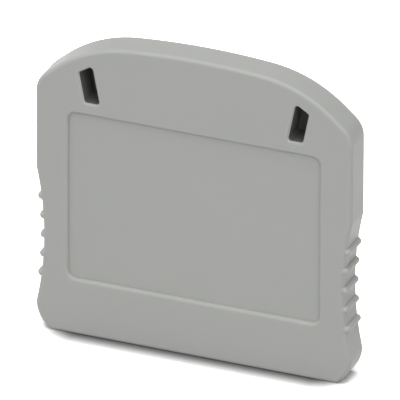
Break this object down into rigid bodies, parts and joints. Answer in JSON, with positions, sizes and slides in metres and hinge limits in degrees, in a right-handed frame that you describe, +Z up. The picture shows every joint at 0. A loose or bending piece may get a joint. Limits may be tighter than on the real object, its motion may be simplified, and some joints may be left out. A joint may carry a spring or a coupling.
{
  "type": "terminal block end cover",
  "caption": "Thin moulded plastic end cover for a small terminal block, with a crowned top, ribbed waist, recessed front panel and slanted latch slots.",
  "frame": {"origin": "middle of the flat foot that the cover stands on, halfway through its thickness", "axes": "+Z up from the foot to the crown, +Y out of the flat back face that lies against the terminal block, +X across the cover; the recessed front face looks towards -Y"},
  "size_m": [0.022, 0.0022, 0.0215],
  "materials": {
    "plastic": "light grey moulded polyamide, fine satin grain"
  },
  "bodies": {
    "root": {"end_cover": "plastic"}
  },
  "joints": []
}
